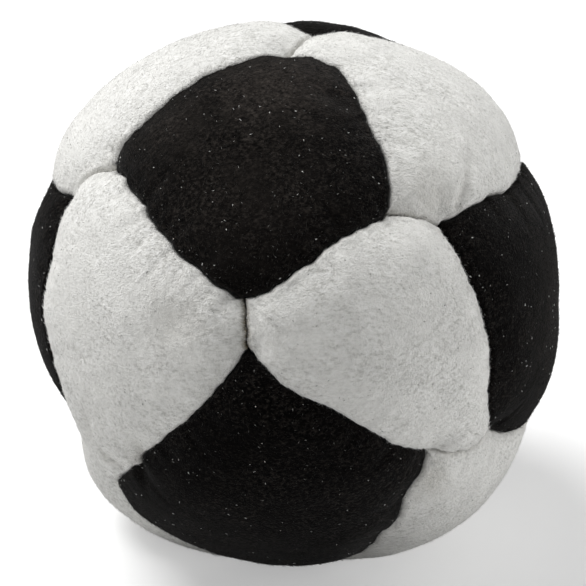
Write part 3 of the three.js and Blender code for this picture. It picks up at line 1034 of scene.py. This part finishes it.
def suede(name, dark, base, light, dirt_and_painted_light, drawn_out, gloss, sheen, bump):
    """Napped suede: brushed fibres that turn from place to place, smoother worn areas, fine pits,
    faint patches, and grainy soil where the mesh says so; the same mix paints shade on white and
    sheen on black."""
    values = {
        "Roughness": 0.95,
        "Specular IOR Level": gloss,
        "Sheen Weight": sheen,
        "Sheen Roughness": 0.45,
    }
    material, tree, shader = new_material(name, values)
    coordinates = tree.nodes.new("ShaderNodeTexCoord").outputs["Object"]
    grain = noise_node(tree, coordinates, GRAIN_SCALE, 3, 0.65)
    level = strokes(tree, coordinates, (0.2, -0.35, 0.1), drawn_out)
    slanted = strokes(tree, coordinates, (0.5, 0.6, -0.5), drawn_out)
    turns = noise_node(tree, coordinates, TURN_SCALE)
    turns = ramp_node(tree, turns, [(0.42, (0,) * 3), (0.58, (1,) * 3)])
    fibre = mix_node(tree, turns, level, slanted)
    fibre = mix_node(tree, 0.45, fibre, grain)
    worn = noise_node(tree, coordinates, WORN_SCALE)
    worn = ramp_node(tree, worn, [(0.42, (0,) * 3), (0.62, (0.65,) * 3)])
    fibre = mix_node(tree, worn, fibre, (0.5, 0.5, 0.5))
    colour = ramp_node(tree, fibre, [(0.39, dark), (0.5, base), (0.61, light)])
    patches = noise_node(tree, coordinates, PATCH_SCALE, 3, 0.6)
    faint = ramp_node(tree, patches, [(0.35, (0.92,) * 3), (0.65, (1.0,) * 3)])
    colour = mix_node(tree, 1.0, colour, faint, "MULTIPLY")
    # the mesh's soil, with its painted shade and painted sheen
    soil_and_painted_light = tree.nodes.new("ShaderNodeAttribute")
    soil_and_painted_light.attribute_name = "soil_and_painted_light"
    grained = ramp_node(tree, fibre, [(0.39, (0.3,) * 3), (0.61, (1.7,) * 3)])
    stain_and_painted_light = mix_node(tree, 1.0, grained, dirt_and_painted_light, "MULTIPLY")
    colour = mix_node(tree, soil_and_painted_light.outputs["Fac"], colour, stain_and_painted_light)
    height = add_node(tree, "Math", {0: fibre, 1: noise_node(tree, coordinates, PIT_SCALE, 2, 0.6)})
    height.operation = "ADD"
    values = {"Height": height.outputs[0], "Strength": bump, "Distance": BUMP_HEIGHT * MM}
    bumps = add_node(tree, "Bump", values)
    set_inputs(tree, shader, {"Base Color": colour, "Normal": bumps.outputs["Normal"]})
    return material


def fibre_shades(name, colours, sheen):
    """One material for each shade of fibre. A fibre is too slim to carry a pattern of its own."""
    shades = []
    for number, colour in enumerate(colours):
        values = {
            "Base Color": (*colour, 1),
            "Roughness": 0.95,
            "Specular IOR Level": 0.1,
            "Sheen Weight": sheen,
        }
        shades.append(new_material(f"{name}_{number}", values)[0])
    return shades


white_suede = suede(
    "white_suede",
    dark=(0.6, 0.595, 0.565),
    base=(0.83, 0.825, 0.795),
    light=(0.93, 0.925, 0.905),
    # darker than the white, so mixing towards it paints dirt and shade
    dirt_and_painted_light=(0.2, 0.17, 0.11),
    drawn_out=0.3,
    gloss=0.1,
    sheen=0.05,
    bump=0.9,
)
black_suede = suede(
    "black_suede",
    dark=(0.0005, 0.0004, 0.0004),
    base=(0.0024, 0.0021, 0.0019),
    light=(0.02, 0.0172, 0.015),
    # paler than the black, so mixing towards it paints sheen and dust
    dirt_and_painted_light=(0.042, 0.036, 0.032),
    drawn_out=0.75,
    gloss=0.01,
    sheen=0.07,
    bump=0.8,
)
white_nap = fibre_shades(
    "white_nap",
    [(0.91, 0.905, 0.89), (0.86, 0.855, 0.835), (0.8, 0.79, 0.765), (0.88, 0.875, 0.86)],
    sheen=0.03,
)
black_nap = fibre_shades(
    "black_nap",
    [(0.002, 0.002, 0.002), (0.007, 0.006, 0.0055), (0.028, 0.0245, 0.0215)],
    sheen=0.07,
)
white_lint = fibre_shades(
    "white_lint",
    [
        (0.8, 0.8, 0.78),
        (0.22, 0.22, 0.21),
        (0.12, 0.12, 0.115),
        (0.08, 0.076, 0.071),
        (0.06, 0.056, 0.052),
        (0.05, 0.046, 0.042),
        (0.045, 0.04, 0.036),
    ],
    sheen=0,
)
dark_specks = fibre_shades("dark_specks", [(0.05, 0.047, 0.042), (0.16, 0.15, 0.13)], sheen=0)


def patterned(name, texture, values, output, stops, roughness):
    """A material whose shade follows a texture."""
    material, tree, shader = new_material(name, {"Roughness": roughness})
    coordinates = tree.nodes.new("ShaderNodeTexCoord").outputs["Object"]
    pattern = add_node(tree, texture, {"Vector": coordinates, **values})
    colour = ramp_node(tree, pattern.outputs[output], stops)
    set_inputs(tree, shader, {"Base Color": colour})
    return material


# Thread with its twist, and moulded pellets as one mass, each pellet paler at its middle and darker
# towards its edge, which is painted shade between the pellets
waxed_thread = patterned(
    "waxed_thread",
    "TexWave",
    {"Scale": TWIST_SCALE, "Distortion": 3},
    "Fac",
    [(0.2, (0.012, 0.011, 0.01)), (0.8, (0.035, 0.032, 0.03))],
    roughness=0.55,
)
plastic_pellets = patterned(
    "plastic_pellets",
    "TexVoronoi",
    {"Scale": PELLET_SCALE},
    "Distance",
    # painted shade: darker towards each pellet's edge
    [(0.0, (0.55, 0.52, 0.45)), (0.7, (0.36, 0.34, 0.29))],
    roughness=0.4,
)

# Making the panels

for panel in outlines:
    black = panel in FACING
    node = f"black_{panel}_panel" if black else f"{panel}_panel"
    slot, other_slot = ("black_suede", "white_suede") if black else ("white_suede", "black_suede")
    first, rings, last = panel_points(panel)
    points, faces = closed_fan(first, rings, last)
    piece = add_mesh(f"suede_{node}", points, faces, black_suede if black else white_suede)
    # soil with painted shade on the white panels and painted sheen on the black ones
    soil_and_painted_light = piece.data.attributes.new("soil_and_painted_light", "FLOAT", "POINT")
    soil_and_painted_light.data.foreach_set("value", soil_and_painted_light_on(panel, unit(points)) * (BLACK_SHARE_OF_SOIL_AND_LIGHT if black else 1))
    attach(piece, "root")
    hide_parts(node)
    face = rings[: DOME_RINGS + FOLD_RINGS - BARE_RINGS]
    nap = black_nap if black else white_nap
    add_fibres(f"nap_of_{node}", slot, face, nap, NAP_COUNTS[slot], **NAP)
    fluff, sizes = (white_lint, LINT) if black else (dark_specks, SPECKS)
    add_fibres(f"lint_on_{node}", other_slot, face, fluff, **sizes)

for name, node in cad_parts.items():
    if name.startswith("thread_") or name == "pellet_filling":
        node.data.materials.clear()
        node.data.materials.append(plastic_pellets if name == "pellet_filling" else waxed_thread)


# Floor


def camera_switch(tree, plain, seen, output):
    """Show the camera one shader, and all other light a plain one."""
    path = tree.nodes.new("ShaderNodeLightPath")
    values = {0: path.outputs["Is Camera Ray"], 1: plain.outputs[0], 2: seen.outputs[0]}
    switch = add_node(tree, "MixShader", values)
    set_inputs(tree, tree.nodes[output], {"Surface": switch.outputs[0]})


def make_floor(half, level, shade, brightness):
    """A floor that looks paler to the camera than the light it gives back."""
    mesh = bpy.data.meshes.new("floor")
    outline = [(-half, -half), (half, -half), (half, half), (-half, half)]
    mesh.from_pydata([(x * MM, y * MM, level * MM) for x, y in outline], [], [(0, 1, 2, 3)])
    values = {"Base Color": (shade, shade, shade, 1), "Roughness": 0.9, "Specular IOR Level": 0.1}
    material, tree, shader = new_material("pale_floor", values)
    glow = add_node(tree, "Emission", {"Strength": brightness})
    both = add_node(tree, "AddShader", {0: shader.outputs[0], 1: glow.outputs[0]})
    camera_switch(tree, shader, both, "Material Output")
    mesh.materials.append(material)
    add_object("floor", mesh)


# Light


def make_lamp(name, direction, distance, size, power):
    """A soft round lamp that looks at the bag."""
    light = bpy.data.lights.new(name, "AREA")
    light.shape = "DISK"
    light.size = size * MM
    light.energy = power
    lamp = add_object(name, light)
    place = BAG_CENTRE + unit(np.array(direction, float)) * distance
    lamp.location = place * MM
    aim = Vector(((BAG_CENTRE - place) * MM).tolist())
    lamp.rotation_euler = aim.to_track_quat("-Z", "Y").to_euler()


def make_world(strength):
    """Even light from all round, with a white backdrop for the camera."""
    world = bpy.data.worlds.new("studio")
    bpy.context.scene.world = world
    world.use_nodes = True
    tree = world.node_tree
    ambient = tree.nodes["Background"]
    set_inputs(tree, ambient, {"Color": (1, 1, 1, 1), "Strength": strength})
    backdrop = add_node(tree, "Background", {"Color": (1, 1, 1, 1), "Strength": 1.0})
    camera_switch(tree, ambient, backdrop, "World Output")


# Camera


def make_camera():
    camera = add_object("camera", bpy.data.cameras.new("camera"))
    per_pixel = VIEW_DISTANCE / FOCAL_PIXELS
    target = (
        BAG_CENTRE
        + VIEW_RIGHT * (PICTURE / 2 - CENTRE_PIXEL[0]) * per_pixel
        - VIEW_UP * (PICTURE / 2 - CENTRE_PIXEL[1]) * per_pixel
    )
    camera.location = (target - VIEW_FORWARD * VIEW_DISTANCE) * MM
    camera.rotation_euler = (math.pi / 2 - VIEW_ELEVATION, 0, 0)
    camera.data.sensor_width = 36
    camera.data.lens = FOCAL_PIXELS / PICTURE * camera.data.sensor_width
    camera.data.clip_start = 0.01
    camera.data.clip_end = 10
    bpy.context.scene.camera = camera


# The level is a hair low, because the bag's flat patches would share the floor's plane at 0
make_floor(half=1400.0, level=-0.02, shade=0.75, brightness=0.4)
make_world(strength=0.26)
make_lamp("top_left_lamp", (-0.42, 0.18, 0.88), distance=900, size=600, power=8.9)
make_lamp("right_lamp", (0.94, 0.08, 0), distance=900, size=450, power=5.8)
make_camera()
bpy.context.scene.view_settings.view_transform = "Standard"
